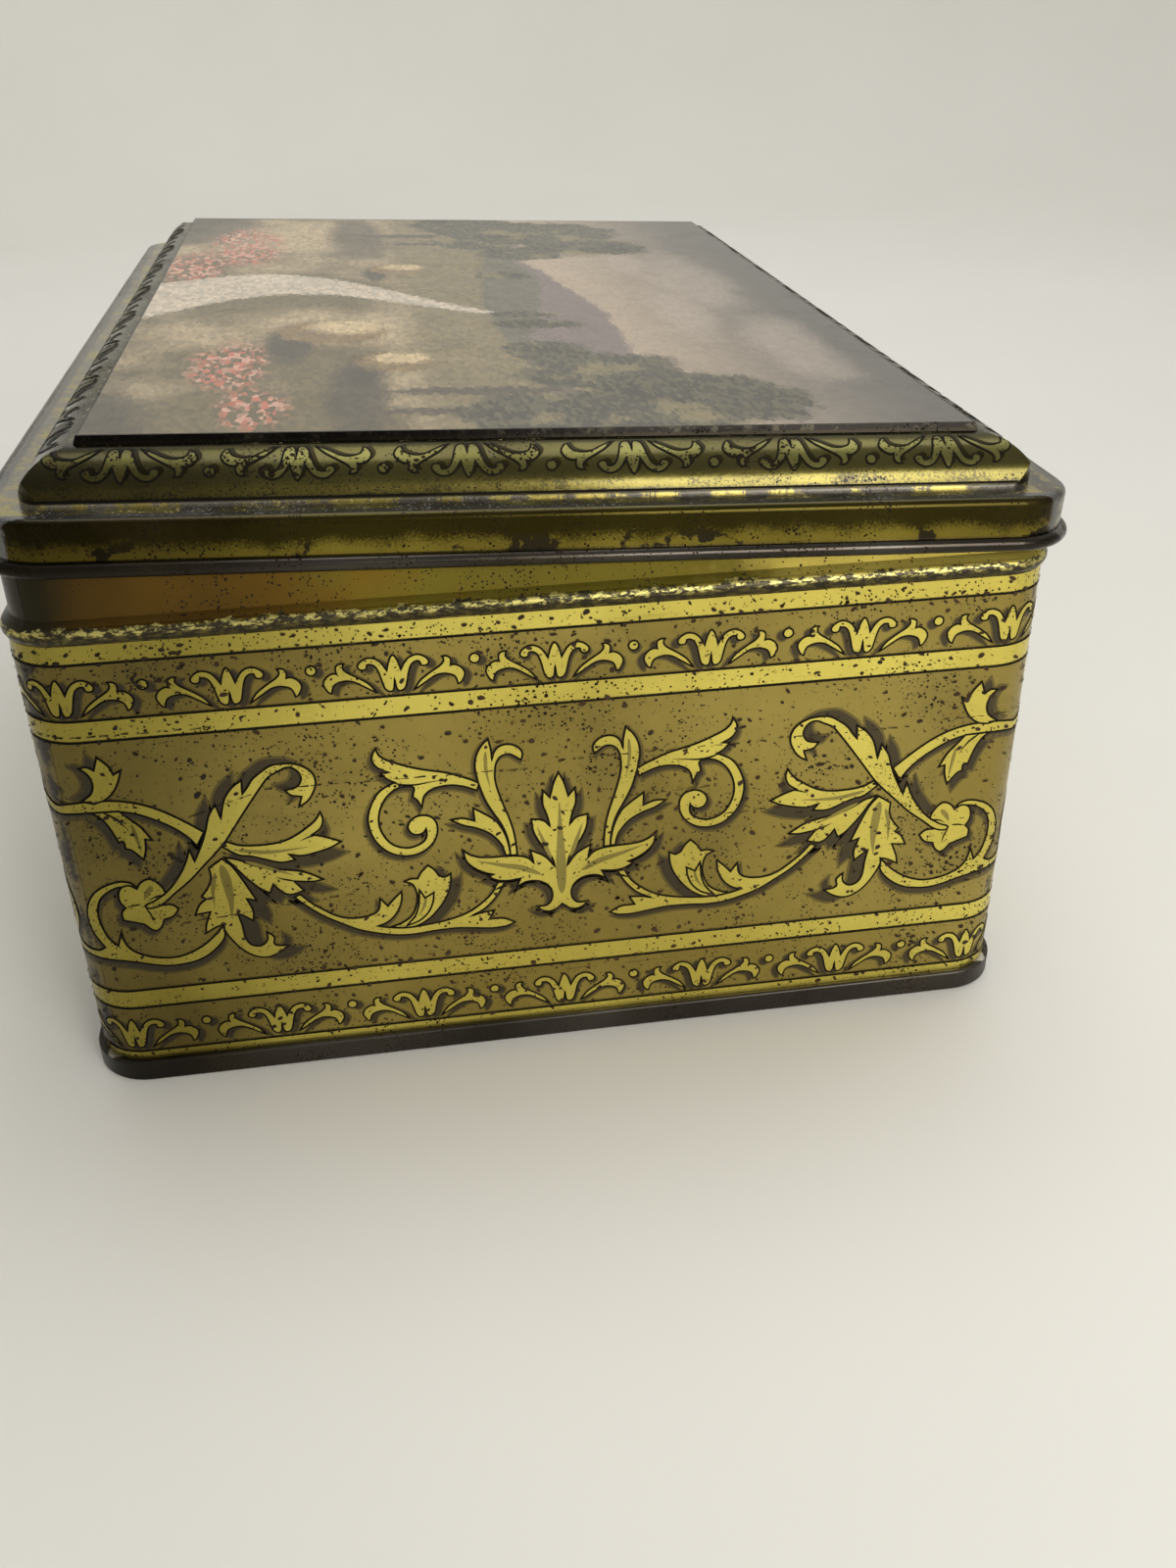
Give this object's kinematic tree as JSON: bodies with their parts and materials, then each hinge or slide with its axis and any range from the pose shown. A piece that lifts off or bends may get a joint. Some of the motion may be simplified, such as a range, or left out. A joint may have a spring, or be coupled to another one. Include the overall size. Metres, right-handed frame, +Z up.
{
  "type": "hinged tin box",
  "caption": "Oblong tinplate box with rounded corners and a hinged, overlapping lid with a stepped, moulded top, printed all over in gold and brown ornament.",
  "frame": {"origin": "middle of the underside of the base", "axes": "+X along the long side, +Y towards the hinge at the back, +Z up"},
  "size_m": [0.2348, 0.1651, 0.1074],
  "materials": {
    "printed_body": "gold lacquered and printed tinplate, worn",
    "printed_lid": "gold lacquered and printed tinplate, worn",
    "tin_base": "tarnished tinplate",
    "wire": "dull drawn steel wire",
    "strap": "tarnished tinplate",
    "solder": "dull grey solder"
  },
  "bodies": {
    "body": {"body_back_sheet": "printed_body", "body_front_sheet": "printed_body", "seam_solder_front": "solder", "seam_solder_back": "solder", "base_plate": "tin_base", "hinge_strap_left": "strap", "hinge_strap_right": "strap"},
    "lid": {"lid_shell": "printed_lid", "lid_edge_wire": "wire"}
  },
  "joints": [
    {"name": "lid_hinge", "type": "hinge", "parent": "body", "child": "lid", "pos_m": [0, 0.08205, 0.08585], "axis": [-1, 0, 0], "range_deg": [-2.55, 177.45]}
  ]
}
